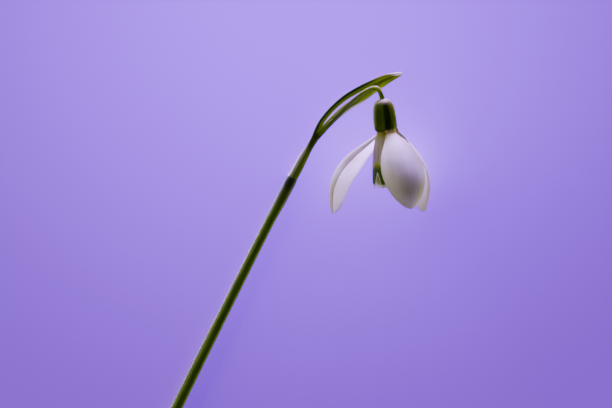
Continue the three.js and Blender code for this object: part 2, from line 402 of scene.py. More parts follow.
stalk = {
    "foot": (-46.2, -94.2),
    "bend": (-24.5, -48.3),
    "footRadius": 1.25,
    "topRadius": 0.9,
    "intoSheath": 0.45,  # how far its rounded end goes into the sheath
    "endRing": 0.55,  # the ring before its end is this far in
    "endSlims": 0.28,  # the rounded end slims by up to this share
    "endReach": 1.4,
    "endPoint": 0.15,  # how far the middle of the end stands out
    "sides": 40,
    "steps": 200,
    "ribs": 6,
    "ribDepth": 0.016,
    "ribTwist": 2.5,
    "wobble": 0.012,
    "wobbleScale": (0.8, 0.11),  # round it and along it
    "flat": 0.012,  # a little wider than it is high
    "collarPlace": 0.9,  # below the top
    "collarReach": 0.85,
    "collarSwell": 0.04,
    "neck": (0.9, 0.965),  # between these shares of its length it grows stouter
    "neckSwell": 0.15,
    "skin": {
        "dark": (0.045, 0.12, 0.001),
        "middle": (0.09, 0.21, 0.002),
        "light": (0.17, 0.29, 0.01),
        "streakScale": (26, 16, 1),
        "cloudScale": (3, 9, 1),
        "cloudShare": 0.35,
        "cloudColour": (0.085, 0.13, 0.006),
        "bands": [(0.92, 0.965, (0.05, 0.1, 0.001)), (0.966, 0.985, (0.006, 0.03, 0.003))],
        "grain": 5200,
        "roughness": 0.4,
        "gloss": 0.22,
        "glow": 0.35,
        "glowReach": 0.5,
        "bumpDepth": 0.05,
    },
    "cut": {
        "rings": (0.96, 0.86, 0.66, 0.42, 0.2),
        "dish": 0.16,
        "level": 0.55,  # the ring at this share of the radius is level with the rim
        "ragged": 0.03,
        "raggedScale": (0.5, 9),  # round it and inwards
        "raggedSeed": 2,
        "middleDepth": 0.08,
        "pith": [(0.0, (0.42, 0.47, 0.24)), (0.75, (0.3, 0.38, 0.12)), (0.98, (0.06, 0.12, 0.02))],
        "strands": 13,
        "strandsAt": 0.7,  # they lie on a circle at this share of the radius
        "strandSharpness": 6.0,
        "strandEdge": (0.45, 0.9),
        "strandColour": (0.09, 0.15, 0.03),
        "cells": 6500,
        "cellShare": 0.3,
        "cellColour": (0.5, 0.52, 0.32),
        "bump": (0.7, 0.12),  # strength and depth
        "roughness": 0.35,
    },
}


def stalkMiddle(t):
    foot = Vector((*stalk["foot"], stalk["footRadius"]))
    bend = Vector((*stalk["bend"], (stalk["footRadius"] + stalk["topRadius"]) / 2))
    top = Vector((0, 0, stalk["topRadius"]))
    return foot * (1 - t) ** 2 + bend * 2 * t * (1 - t) + top * t * t


def cutPith():
    # the pale cut end, with a circle of darker strands
    look = stalk["cut"]
    material, tree = startMaterial("cut_pith")
    _, around, out = surfacePlaces(tree)
    strand = calc(tree, "SINE", times(tree, around, 2 * math.pi * look["strands"]))
    away = times(tree, gap(tree, out, look["strandsAt"]), look["strandSharpness"])
    circle = calc(tree, "SUBTRACT", 1.0, away)
    dots = easeNode(tree, *look["strandEdge"], times(tree, circle, strand))
    cells = grain(tree, look["cells"])
    pale = ramp(tree, out, look["pith"])
    colour = blendColour(tree, times(tree, cells, look["cellShare"]), pale, look["cellColour"])
    colour = blendColour(tree, dots, colour, look["strandColour"])
    shader = addNode(tree, "BsdfPrincipled", {
        "Base Color": colour,
        "Roughness": plus(tree, look["roughness"], times(tree, cells, look["cellShare"])),
        "Normal": bumpNode(tree, cells, *look["bump"]),
    })
    endMaterial(tree, shader.outputs[0])
    return material


def stalkRing(middle, right, up, radius, gone, share):
    fine, fineAlong = stalk["wobbleScale"]
    ring = []
    for turn in turnsRound(stalk["sides"]):
        rib = math.cos(stalk["ribs"] * turn + share * stalk["ribTwist"])
        wobble = uneven(math.sin(turn) * fine, math.cos(turn) * fine, gone * fineAlong)
        size = radius * (1 + stalk["ribDepth"] * rib + stalk["wobble"] * wobble)
        side = -math.sin(turn) * (1 + stalk["flat"])
        place = middle + right * side * size - up * math.cos(turn) * size
        place.z = max(place.z, 0)  # pressed flat where it rests
        ring.append(place)
    return ring


def addCutEnd(mesh, middle, back, rim, outer):
    # the cut foot: rings going in from the rim, a little dished and uneven
    cut = stalk["cut"]
    fine, fineIn = cut["raggedScale"]
    sides = stalk["sides"]
    outShare = 1.0
    for share in cut["rings"]:
        inner = []
        for j in range(sides):
            ragged = cut["ragged"] * uneven(j * fine, share * fineIn, cut["raggedSeed"])
            dish = cut["dish"] * (share - cut["level"]) + ragged
            inner.append(mesh.verts.new((mix(middle, rim[j], share) + back * dish) * mm))
        for j in range(sides):
            k = (j + 1) % sides
            here = j / sides
            after = (j + 1) / sides
            uvs = [(after, outShare), (here, outShare), (here, share), (after, share)]
            addFace(mesh, [outer[k], outer[j], inner[j], inner[k]], uvs, slot=1)
        outer = inner
        outShare = share
    addCap(mesh, outer, middle - back * cut["middleDepth"], (0.5, 0.0), slot=1)


def buildStalk():
    mesh = bmesh.new()
    steps = stalk["steps"]
    end = stalk["intoSheath"]
    places = [stalkMiddle(i / steps) for i in range(steps + 1)]
    ahead = (places[-1] - places[-2]).normalized()
    places += [places[-1] + ahead * end * stalk["endRing"], places[-1] + ahead * end]
    length = sum((b - a).length for a, b in zip(places, places[1:]))
    rings = []
    along = []
    gone = 0
    for i, (middle, right, up) in enumerate(pathFrames(places)):
        if i:
            gone += (middle - places[i - 1]).length
        share = gone / length
        radius = mix(stalk["footRadius"], stalk["topRadius"], share)
        left = length - gone - end  # still to go to the sheath
        swell = stalk["neckSwell"] * ease(*stalk["neck"], share)
        middle = middle + right * radius * swell
        radius *= 1 + swell + stalk["collarSwell"] * bump(stalk["collarPlace"], stalk["collarReach"], left)
        if left < 0:
            radius *= 1 - stalk["endSlims"] * ease(0, -end * stalk["endReach"], left)
        rings.append(stalkRing(middle, right, up, radius, gone, share))
        along.append(share)
    skin = addSkin(mesh, rings, lambda i, j: (j / stalk["sides"], along[i]))
    addCap(mesh, skin[-1], places[-1] + ahead * stalk["endPoint"], (0.5, 1.0))
    back = (places[0] - places[1]).normalized()
    addCutEnd(mesh, places[0], back, rings[0], skin[0])
    materials = [greenSkin("stalk_skin", stalk["skin"]), cutPith()]
    makePiece("stalk", mesh, materials, stalkPlace, ["scape"])


buildStalk()
print("stalk done")


# spathe: the sheath and the boat with two green keels and a clear skin

spathe = {
    # x, y, z of the middle, half width, half height, how far round the left and right edges reach
    "stations": [
        (0.18, 0.03, 0.97, 0.99, 0.9, 179, 179),
        (1.24, 1.92, 1.15, 0.95, 0.82, 179, 179),
        (2.36, 4.01, 1.6, 0.87, 0.78, 179, 179),
        (3.49, 5.89, 2.3, 0.67, 0.7, 179, 179),
        (4.44, 7.5, 2.95, 0.75, 0.74, 179, 179),
        (5.44, 9.07, 3.6, 1.05, 0.82, 160, 88),
        (6.6, 10.6, 4.3, 1.27, 0.88, 135, 70),
        (8.4, 12.5, 5.3, 1.38, 0.9, 122, 66),
        (10.5, 14.2, 6.4, 1.42, 0.9, 116, 66),
        (12.8, 15.6, 7.6, 1.4, 0.86, 114, 72),
        (15.3, 17.0, 8.6, 1.22, 0.74, 122, 100),
        (17.8, 18.3, 9.3, 0.92, 0.5, 150, 150),
        (20.6, 19.3, 9.8, 0.3, 0.16, 172, 172),
    ],
    "stepsEach": 7,
    "columns": 46,
    "keelWall": 0.24,
    "skinWall": 0.05,
    "wallFrom": (0.2, 1.2),  # it thins out where the section is narrower than this
    "leastHalf": 0.3,
    "edgeThins": (0.2, 16),  # to this share of the wall, over these degrees
    "keels": [(72, 20), (-58, 18)],  # where each runs and its reach, in degrees round the section
    "keelFrom": (4, 6),  # the keels rise between these stations
    "keelRise": 0.07,  # they stand out by this share
    "ripple": 0.012,
    "rippleScale": (3.2, 1.1),  # round it and along it
    "rippleSeed": 7,
    "rippleFrom": (0, 2),  # it comes in between these stations
    "window": (7, 10.5),  # between the keels the skin is clear: its middle and half its width
    "windowEnds": (5.3, 10.0),  # and the stations where it starts and ends
    "windowSoft": 4,
    "windowPoint": 0.8,  # less than 1 gives it blunter ends
    "windowTrace": 0.6,  # a faint line runs on beyond its ends, none at 1
    "filmSolid": 0.04,  # how solid the clear skin is
    "deepFrom": (38, 60),  # painted shade: the left keel is darker green beyond these degrees, on its outer side
    "deepEnds": (3.5, 5.5, 9.2, 12),  # the painted shade grows between the first two stations, and fades again
    "crease": (3, 17, 0.7),  # painted shade in a fold near the tip: where it runs, its reach and how dark it is
    "creaseEnds": (9.3, 10.2, 11.3, 12),
    "palerFrom": (15, 70),  # the right side is paler beyond these degrees
    "palerSteps": [(8.3, 9.2), (9.6, 10.4)],  # half of it comes with each of these stretches
    "skirt": (8.4, 1.1),  # a colourless flap beyond the right keel: its station and reach
    "skirtEdge": (15, 7),  # it starts between these degrees inside the edge
    "skirtFlare": 0.3,
    "skirtFlareFrom": (40, 66),
    "skirtSolid": 0.5,
    "paper": (106, 42, 1.35),  # the papery left margin: where it runs, its reach and how full it is
    "paperBelow": (1.5, 3.4),  # it ends between these stations
    "tipPaper": (11.5, 12.1),  # the tip turns papery between these stations
    "tipSlant": 0.45,
    "paperSolid": 0.9,
    "skin": {
        "streakScale": (34, 5, 1),
        "leaf": [(0.3, (0.02, 0.055, 0.001)), (0.5, (0.055, 0.1, 0.002)), (0.68, (0.11, 0.15, 0.006))],
        "leafShade": (0.014, 0.05, 0.004),
        "leafPale": (0.5, 0.68, 0.03),
        "leafSheath": (0.19, 0.37, 0.008),
        "sheathEnd": (0.3, 0.16),
        "sheathShare": 0.75,
        "leafTip": (0.24, 0.36, 0.006),
        "tipFrom": (0.76, 0.9),
        "tipShare": 0.8,
        "leafLit": (0.2, 0.33, 0.015),  # the same greens with light behind them
        "tipLit": (0.34, 0.46, 0.02),
        "deepLit": (0.02, 0.1, 0.01),
        "paleLit": (0.6, 0.75, 0.08),
        "paper": [(0.3, (0.7, 0.7, 0.64)), (0.6, (0.96, 0.94, 0.9))],
        "film": (0.84, 0.83, 0.79),
        "grain": 5200,
        "grainShare": 0.3,
        "bump": (0.6, 0.06),
        "roughness": 0.28,
        "roughSwing": 0.25,
        "gloss": 0.07,
        "through": 0.45,
    },
}
spatheShares = ("green", "solid", "paintedShade", "pale")


def spatheTint(angle, station, right):
    # how green, how solid, how much painted shade and how pale a green the skin is at an angle in degrees
    middle, halfWidth = spathe["window"]
    start, end = spathe["windowEnds"]
    soft = spathe["windowSoft"]
    length = min(max((station - start) / (end - start), 0), 1)
    widest = math.sin(math.pi * length) ** spathe["windowPoint"]
    half = mix(-soft * spathe["windowTrace"], halfWidth, widest)
    green = ease(-soft, soft, abs(angle - middle) - half)

    skirtOut, skirtIn = spathe["skirtEdge"]
    skirt = ease(right - skirtOut, right - skirtIn, -angle) * bump(*spathe["skirt"], station)

    paperAt, paperReach, fullness = spathe["paper"]
    paperSheath = bump(paperAt, paperReach, angle) * (1 - ease(*spathe["paperBelow"], station))
    paperTip = ease(*spathe["tipPaper"], station + spathe["tipSlant"] * math.sin(math.radians(angle)))
    paper = max(min(paperSheath * fullness, 1), paperTip)

    green = green * (1 - paper) * (1 - skirt)
    solid = max(green, paper * spathe["paperSolid"], skirt * spathe["skirtSolid"], spathe["filmSolid"])

    # painted shade: darker on the left keel's outer side and in the fold near the tip
    paintedShade = ease(*spathe["deepFrom"], angle) * upAndDown(spathe["deepEnds"], station)
    creaseAt, creaseReach, creaseDepth = spathe["crease"]
    crease = creaseDepth * bump(creaseAt, creaseReach, angle) * upAndDown(spathe["creaseEnds"], station)
    pale = sum(0.5 * ease(low, high, station) for low, high in spathe["palerSteps"])
    return green, solid, max(paintedShade, crease), pale * ease(*spathe["palerFrom"], -angle)


def spatheSkin():
    look = spathe["skin"]
    material, tree = startMaterial("spathe_skin")
    uv, _, along = surfacePlaces(tree)
    green, solid, paintedShade, pale = [storedShare(tree, name) for name in spatheShares]
    streak = stretchedNoise(tree, uv, look["streakScale"])
    fine = grain(tree, look["grain"])
    tip = easeNode(tree, *look["tipFrom"], along)
    sheath = times(tree, easeNode(tree, *look["sheathEnd"], along), look["sheathShare"])
    leaf = ramp(tree, streak, look["leaf"])
    leaf = blendColour(tree, sheath, leaf, look["leafSheath"])
    leaf = blendColour(tree, times(tree, tip, look["tipShare"]), leaf, look["leafTip"])
    # painted shade
    leaf = blendColour(tree, paintedShade, leaf, look["leafShade"])
    leaf = blendColour(tree, pale, leaf, look["leafPale"])
    paper = ramp(tree, streak, look["paper"])
    colour = blendColour(tree, green, paper, leaf)
    lit = blendColour(tree, tip, look["leafLit"], look["tipLit"])
    lit = blendColour(tree, paintedShade, lit, look["deepLit"])
    lit = blendColour(tree, pale, lit, look["paleLit"])
    lit = blendColour(tree, green, paper, lit)
    height = plus(tree, streak, times(tree, fine, look["grainShare"]))
    skin = addNode(tree, "BsdfPrincipled", {
        "Base Color": colour,
        "Roughness": plus(tree, look["roughness"], times(tree, streak, look["roughSwing"])),
        "Specular IOR Level": look["gloss"],
        "Normal": bumpNode(tree, height, *look["bump"]),
    }).outputs[0]
    glow = addNode(tree, "BsdfTranslucent", {"Color": lit}).outputs[0]
    body = addNode(tree, "MixShader", {0: look["through"], 1: skin, 2: glow}).outputs[0]
    clear = addNode(tree, "BsdfTransparent", {"Color": look["film"]}).outputs[0]
    shader = addNode(tree, "MixShader", {0: solid, 1: clear, 2: body}).outputs[0]
    endMaterial(tree, shader)
    return material


def spatheRow(row, middle, right, up, station):
    # one row of the outer sheet, of the inner sheet and of the tints
    halfWidth, halfHeight, left, rightReach = row[3:]
    thin, thinOver = spathe["edgeThins"]
    fine, fineAlong = spathe["rippleScale"]
    outer = []
    inner = []
    tints = []
    for j in range(spathe["columns"] + 1):
        angle = mix(-rightReach, left, j / spathe["columns"])
        turn = math.radians(angle)
        tint = spatheTint(angle, station, rightReach)
        keel = max(bump(place, reach, angle) for place, reach in spathe["keels"])
        keel *= ease(*spathe["keelFrom"], station)
        ripple = spathe["ripple"] * uneven(turn * fine, station * fineAlong, spathe["rippleSeed"])
        ripple *= ease(*spathe["rippleFrom"], station)
        grow = 1 + spathe["keelRise"] * keel + ripple
        offset = right * (-halfWidth * math.sin(turn)) - up * (halfHeight * math.cos(turn))
        flare = ease(*spathe["skirtFlareFrom"], -angle) * bump(*spathe["skirt"], station)
        offset += right * spathe["skirtFlare"] * flare
        wall = tint[0] * ease(*spathe["wallFrom"], offset.length)  # the green skin is the thick one
        wall = mix(spathe["skinWall"], spathe["keelWall"], wall)
        wall *= mix(thin, 1, min(ease(0, thinOver, left - angle), ease(0, thinOver, angle + rightReach)))
        outer.append(middle + offset * grow)
        inner.append(middle + offset * (grow - wall / max(offset.length, spathe["leastHalf"])))
        tints.append(tint)
    return outer, inner, tints


def buildSpathe():
    mesh = bmesh.new()
    rows = throughPoints(spathe["stations"], spathe["stepsEach"])
    frames = pathFrames([Vector(row[:3]) for row in rows])
    sheets = []
    for i, (row, (middle, right, up)) in enumerate(zip(rows, frames)):
        sheets.append(spatheRow(row, middle, right, up, i / spathe["stepsEach"]))
    outer, inner, tints = zip(*sheets)
    startShares(mesh, spatheShares)
    top, under = addLeafBlade(mesh, outer, inner, lambda i, j: (j / spathe["columns"], i / (len(rows) - 1)))
    for sheet in (top, under):
        storeShares(mesh, spatheShares, sheet, tints)
    makePiece("spathe_leaf", mesh, [spatheSkin()], stalkPlace, ["spathe"])


buildSpathe()
print("spathe done")


# ovary: the seed capsule

ovary = {
    "lean": 3,
    # radius and height above the throat
    "profile": [
        (1.98, 0.16), (2.14, 0.42), (2.19, 1.4), (2.17, 2.6), (2.05, 3.9),
        (1.79, 4.9), (1.42, 5.5), (0.93, 5.8), (0.5, 5.88),
    ],
    "stepsEach": 6,
    "sides": 60,
    "lobes": 6,
    "lobeDepth": 0.022,
    "lobeFades": (0.12, 0.8),  # full between these shares of its length
    "lobeTurn": 0.5,
    "knobbles": 0.014,
    "knobbleScale": (2.2, 0.5),  # round it and along it
    "footHeight": 0.1,
    "tipHeight": 5.86,
    "pedicelGap": 0.02,  # the inner stalk ends this far above it
    "skin": {
        "dark": (0.004, 0.016, 0.001),
        "middle": (0.06, 0.125, 0.001),
        "light": (0.19, 0.31, 0.002),
        "streakScale": (16, 1.6, 1),
        "cloudScale": (5, 2, 1),
        "cloudShare": 0.25,
        "cloudColour": (0.05, 0.09, 0.003),
        # painted shade in a dark stripe down the side that faces up, painted light in lighter stripes on
        # both flanks; where round it, how wide, how far up it, and the tint
        "sides": [
            (0.466, 0.1, 0.9, (0.006, 0.022, 0.003)),
            (0.33, 0.12, 1.5, (0.15, 0.25, 0.002)),
            (0.71, 0.12, 1.5, (0.13, 0.22, 0.002)),
        ],
        "bands": [(0.07, 0.0, (0.06, 0.075, 0.01))],
        # partly a pale bloom, partly painted highlight where the upper end catches the light
        "bloomAndHighlight": 0.72,
        "frostEdge": (0.6, 0.78),
        "frostColour": (0.35, 0.38, 0.24),
        "grain": 4200,
        "roughness": 0.38,
        "gloss": 0.12,
        "glow": 0.5,
        "glowReach": 0.6,
        "bumpDepth": 0.06,
    },
}


def buildOvary():
    mesh = bmesh.new()
    profile = throughPoints([(*point, 0) for point in ovary["profile"]], ovary["stepsEach"])
    last = len(profile) - 1
    lobesFull, lobesFade = ovary["lobeFades"]
    fine, fineAlong = ovary["knobbleScale"]
    rings = []
    for i, (radius, height, _) in enumerate(profile):
        body = ease(0, lobesFull, i / last) * (1 - ease(lobesFade, 1, i / last))
        ring = []
        for turn in turnsRound(ovary["sides"]):
            lobe = ovary["lobeDepth"] * body * math.cos(ovary["lobes"] * turn + ovary["lobeTurn"])
            knobble = uneven(math.cos(turn) * fine, math.sin(turn) * fine, height * fineAlong)
            size = radius * (1 + lobe + ovary["knobbles"] * knobble)
            # the seam of the pattern is at the back, towards the table
            ring.append((math.sin(turn) * size, -math.cos(turn) * size, -height))
        rings.append(ring)
    addTube(mesh, rings, (0, 0, -ovary["footHeight"]), (0, 0, -ovary["tipHeight"]))
    place = head @ Matrix.Rotation(math.radians(ovary["lean"]), 4, "Y")
    green = greenSkin("capsule_skin", ovary["skin"])
    makePiece("seed_capsule", mesh, [green], place, ["ovary"])
    top = place @ (Vector((0, 0, -ovary["tipHeight"] - ovary["pedicelGap"])) * mm)
    return (top - stalkTop) / mm


ovaryTop = buildOvary()
print("ovary done")


# pedicel: the inner stalk that the flower hangs from

pedicel = {
    # it ends at the top of the seed capsule
    "path": [
        (0.15, 0.25, 0.97), (2.3, 4.1, 1.62), (3.4, 5.9, 2.3), (4.45, 7.5, 3.0), (6.0, 8.95, 4.25),
        (7.55, 10.45, 5.2), (9.5, 12.4, 6.5), (12.6, 15.17, 8.6), (14.15, 16.13, 9.8), (15.2, 16.5, 10.6),
        (16.0, 16.38, 11.1), (16.48, 15.65, 11.3),
    ],
    "footRadius": 0.34,
    "headRadius": 0.44,
    "socketFrom": 0.955,
    "socketSwell": 0.16,
    "ribs": 5,
    "ribDepth": 0.03,
    "ribTwist": 3,
    "sides": 20,
    "stepsEach": 7,
    "skin": {
        "dark": (0.095, 0.19, 0.002),
        "middle": (0.17, 0.31, 0.003),
        "light": (0.26, 0.42, 0.01),
        "streakScale": (10, 12, 1),
        "cloudScale": (2, 6, 1),
        "cloudShare": 0.3,
        "cloudColour": (0.09, 0.13, 0.004),
        "bands": [(0.66, 0.5, (0.06, 0.125, 0.001))],
        "grain": 5200,
        "roughness": 0.15,
        "gloss": 0.2,
        "glow": 0.3,
        "glowReach": 0.4,
        "bumpDepth": 0.03,
    },
}


def buildPedicel():
    mesh = bmesh.new()
    rows = throughPoints([*pedicel["path"], tuple(ovaryTop)], pedicel["stepsEach"])
    last = len(rows) - 1
    rings = []
    for i, (middle, right, up) in enumerate(pathFrames([Vector(row) for row in rows])):
        share = i / last
        radius = mix(pedicel["footRadius"], pedicel["headRadius"], share)
        radius *= 1 + pedicel["socketSwell"] * ease(pedicel["socketFrom"], 1, share)
        ring = []
        for turn in turnsRound(pedicel["sides"]):
            rib = math.cos(pedicel["ribs"] * turn + share * pedicel["ribTwist"])
            size = radius * (1 + pedicel["ribDepth"] * rib)
            ring.append(middle - right * math.sin(turn) * size - up * math.cos(turn) * size)
        rings.append(ring)
    addTube(mesh, rings, rows[0], rows[-1])
    green = greenSkin("pedicel_skin", pedicel["skin"])
    makePiece("pedicel_stalk", mesh, [green], stalkPlace, ["pedicel"])


buildPedicel()
print("pedicel done")


# petals

petalSheet = {
    "rows": 64,
    "columns": 36,
    "tipWidth": 0.0006,  # before the bluntness, which keeps a tip from closing to a point
    "thickness": 0.26,
    "edgeShare": 0.3,  # the rim is this share of the full thickness
    "edgeCurve": 3,  # the higher, the later it thins out towards the sides
    "edgeFrom": 0.9,  # the rim at the tip starts here
    "rootReach": 0.05,  # the claws run on up into the capsule by this share of a petal's length
    "rootRise": 15,  # as steeply as this
    "rootFade": 0.06,  # and take their own slope from here
    "clawShiftEnds": (-0.1, 0.32),  # a claw's shift to the side fades out between these
    "ribs": 9,
    "ribHeight": 0.014,
    "ribInside": 0.5,  # the inner face shows this share of them
    "rolledFrom": (0.1, 0.85),  # painted shade on the rolled side, from the middle to the left edge
    "rolledEnds": (0.42, 0.7),  # along the petal
    # how fine the waves are across and along, how strong, and how much they keep to the edges
    "waves": [(1.6, 3.2, 4, 2), (2.5, 7, 2.4, 3)],
    "waveSeedStep": 5,
    "bump": (0.5, 0.06),
    "sheenRoughness": 0.4,
}
petalShares = ("station", "claw", "clawDeep", "rolledShade")


def widthShare(shape, t):
    # a narrow claw, the widest place, a round end
    if t < shape["widestAt"]:
        return mix(shape["clawShare"], 1, math.sin(t / shape["widestAt"] * math.pi / 2))
    beyond = (t - shape["widestAt"]) / (1 - shape["widestAt"])
    return max(1 - beyond * beyond, petalSheet["tipWidth"]) ** shape["bluntness"]


def petalPoint(shape, t, v):
    # (place, normal towards the petal's back) at t along it and v across it, from -1 to 1
    a, b, c, d = (Vector(p) for p in shape["spine"])
    s = max(t, 0)
    middle = a * (1 - s) ** 3 + b * 3 * s * (1 - s) ** 2 + c * 3 * s * s * (1 - s) + d * s ** 3
    middle.y += min(t, 0) * petalSheet["rootRise"]
    slope = ((b - a) * (1 - s) ** 2 + (c - b) * 2 * s * (1 - s) + (d - c) * s * s).normalized()
    leavesRoot = ease(-petalSheet["rootReach"], petalSheet["rootFade"], t)
    slope = mix(Vector((0, 1)), slope, leavesRoot).normalized()
    axis = Vector((slope.x, 0, slope.y))
    turn = Matrix.Rotation(-math.radians(mix(*shape["twist"], t)), 3, axis)
    back = turn @ Vector((slope.y, 0, -slope.x))
    side = turn @ Vector((0, 1, 0))
    cup = math.radians(shape["cup"])
    arcRadius = shape["width"] * widthShare(shape, t) / 2 / cup
    normal = back * math.cos(v * cup) + side * math.sin(v * cup)
    place = Vector((middle.x, 0, middle.y)) - back * arcRadius + normal * arcRadius
    place += Vector((*shape["clawShift"], 0)) * (1 - ease(*petalSheet["clawShiftEnds"], t))
    ripple = 0
    for i, (across, along, strength, power) in enumerate(petalSheet["waves"]):
        seed = shape["seed"] + petalSheet["waveSeedStep"] * i
        ripple += strength * uneven(v * across, t * along, seed) * abs(v) ** power
    return place + normal * shape["wave"] * ripple * t, normal


def petalRow(shape, station, end):
    # one row of the outer sheet, of the inner sheet, of the UVs and of the shares
    columns = petalSheet["columns"]
    outer = []
    inner = []
    uvs = []
    shares = []
    for j in range(columns + 1):
        v = 2 * j / columns - 1
        t = station * end(v)
        point, normal = petalPoint(shape, t, v)
        edge = max(abs(v) ** petalSheet["edgeCurve"], ease(petalSheet["edgeFrom"], 1, station))
        thick = petalSheet["thickness"] * mix(1, petalSheet["edgeShare"], edge)
        rib = petalSheet["ribHeight"] * math.cos(v * math.pi * petalSheet["ribs"]) * (1 - v * v)
        outer.append(point + normal * (thick / 2 + rib))
        inner.append(point - normal * (thick / 2 - rib * petalSheet["ribInside"]))
        # painted shade along the rolled side
        rolledShade = ease(*petalSheet["rolledFrom"], -v) * (1 - ease(*petalSheet["rolledEnds"], t))
        claw = 1 - ease(*shape["clawTint"], t)
        uvs.append((j / columns, t))
        shares.append((station, claw, claw * shape["clawDeep"], rolledShade * shape["rolledShade"]))
    return outer, inner, uvs, shares


def buildPetal(name, shape, azimuth, end, materials):
    mesh = bmesh.new()
    root = petalSheet["rootReach"]
    sheets = []
    for i in range(petalSheet["rows"] + 1):
        station = math.sin(i / petalSheet["rows"] * math.pi / 2) * (1 + root) - root
        sheets.append(petalRow(shape, station, end))
    outer, inner, uvs, shares = zip(*sheets)
    startShares(mesh, petalShares)
    slots = (0, len(materials) - 1, 0)
    top, under = addLeafBlade(mesh, outer, inner, lambda i, j: uvs[i][j], slots)
    storeShares(mesh, petalShares, top, shares)
    storeShares(mesh, petalShares[:-1], under, shares)  # only the back of a petal gets the painted shade of its rolled side
    place = head @ Matrix.Rotation(math.radians(azimuth), 4, "Z")
    makePiece(name + "_petal", mesh, materials, place, [name])


def petalShader(tree, colour, height, rough, claw, look):
    # soft white tissue that lets some light through, and more at the claw
    through = plus(tree, look["through"], times(tree, claw, look["clawThrough"]))
    normal = bumpNode(tree, height, *petalSheet["bump"])
    skin = addNode(tree, "BsdfPrincipled", {
        "Base Color": colour,
        "Roughness": rough,
        "Specular IOR Level": look["gloss"],
        "Sheen Weight": look["sheen"],
        "Sheen Roughness": petalSheet["sheenRoughness"],
        "Normal": normal,
    }).outputs[0]
    glow = addNode(tree, "BsdfTranslucent", {"Color": colour, "Normal": normal}).outputs[0]
    return addNode(tree, "MixShader", {0: through, 1: skin, 2: glow}).outputs[0]


outerPetals = {
    "each": {
        "outer_tepal_left": {
            "azimuth": 191.6, "width": 10.2, "cup": 57, "twist": (-14, -13),
            "spine": [(1.95, 0.4), (5.2, 3.8), (12.0, 4.6), (11.1, 15.1)],
            "widestAt": 0.59, "clawShare": 0.19, "bluntness": 0.42, "clawShift": (-0.7, 1.04),
            "clawTint": (0.0, 0.06), "clawDeep": 0.0, "rolledShade": 1.0, "wave": 0.05, "seed": 3,
        },
        "outer_tepal_front": {
            "azimuth": 68.8, "width": 9.6, "cup": 54, "twist": (-5, -2),
            "spine": [(1.8, 0.4), (6.3, 2.3), (10.5, 7.5), (9.1, 13.7)],
            "widestAt": 0.56, "clawShare": 0.26, "bluntness": 0.53, "clawShift": (0, -0.35),
            "clawTint": (0.005, 0.07), "clawDeep": 0.0, "rolledShade": 0.7, "wave": 0.05, "seed": 8,
        },
        "outer_tepal_back": {
            "azimuth": -41.2, "width": 9.9, "cup": 55, "twist": (5, -19),
            "spine": [(1.8, 0.4), (5.7, 3.3), (12.0, 8.2), (8.6, 16.5)],
            "widestAt": 0.57, "clawShare": 0.2, "bluntness": 0.48, "clawShift": (0.5, 0.4),
            "clawTint": (0.1, 0.18), "clawDeep": 1.0, "rolledShade": 0.0, "wave": 0.05, "seed": 14,
        },
    },
    "skin": {
        "white": (0.82, 0.83, 0.84),
        "foot": (0.7, 0.7, 0.62),  # painted shade: the part towards the tip is greyer
        "tipShadeFrom": (0.52, 0.84),
        "shade": (0.72, 0.72, 0.7),
        "shadeEdge": (0.4, 0.75),
        "shadeScale": (3, 3, 1),
        "crownLight": (0.96, 0.95, 1.0),  # painted light: the upper part is whiter, where light falls on it
        "crownFrom": (0.44, 0.14),
        "vein": (0.62, 0.64, 0.6),
        "veinEdge": (0.52, 0.7),
        "veinScale": (34, 1.8, 1),
        "veinShare": 0.22,
        "rolledShade": (0.4, 0.44, 0.27),  # painted shade on the back of a petal along its rolled side
        "rim": (0.66, 0.64, 0.5),
        "rimSides": (0.86, 1.0),
        "rimTip": (0.95, 1.0),
        "rimShare": 0.5,
        "claw": (1.0, 0.99, 0.62),
        "clawDeep": (0.22, 0.28, 0.08),
        "cells": 7000,
        "cellShare": 0.35,
        "roughness": 0.42,
        "roughSwing": 0.2,
        "through": 0.58,
        "clawThrough": 0.27,
        "gloss": 0.3,
        "sheen": 0.12,
    },
}


def whitePetal():
    look = outerPetals["skin"]
    material, tree = startMaterial("white_petal")
    uv, across, along = surfacePlaces(tree)
    rolledShade, claw, clawDeep = [storedShare(tree, name) for name in ("rolledShade", "claw", "clawDeep")]
    vein = stretchedNoise(tree, uv, look["veinScale"], detail=4.0)
    cloud = stretchedNoise(tree, uv, look["shadeScale"], detail=2.0)
    cells = grain(tree, look["cells"])
    side = gap(tree, times(tree, across, 2.0), 1.0)
    # painted shade towards the tip
    colour = blendColour(tree, easeNode(tree, *look["tipShadeFrom"], along), look["white"], look["foot"])
    colour = blendColour(tree, easeNode(tree, *look["shadeEdge"], cloud), colour, look["shade"])
    # painted light on the upper part
    colour = blendColour(tree, easeNode(tree, *look["crownFrom"], along), colour, look["crownLight"])
    veins = times(tree, easeNode(tree, *look["veinEdge"], vein), look["veinShare"])
    colour = blendColour(tree, veins, colour, look["vein"])
    # painted shade along the rolled side
    colour = blendColour(tree, rolledShade, colour, look["rolledShade"])
    rimSides = easeNode(tree, *look["rimSides"], side)
    rim = calc(tree, "MAXIMUM", rimSides, easeNode(tree, *look["rimTip"], along))
    colour = blendColour(tree, times(tree, rim, look["rimShare"]), colour, look["rim"])
    colour = blendColour(tree, claw, colour, look["claw"])
    colour = blendColour(tree, clawDeep, colour, look["clawDeep"])
    height = plus(tree, vein, times(tree, cells, look["cellShare"]))
    rough = plus(tree, look["roughness"], times(tree, cells, look["roughSwing"]))
    endMaterial(tree, petalShader(tree, colour, height, rough, claw, look))
    return material


def buildOuterPetals():
    white = whitePetal()
    for name, shape in outerPetals["each"].items():
        buildPetal(name, shape, shape["azimuth"], lambda v: 1, [white])


buildOuterPetals()
print("outer petals done")


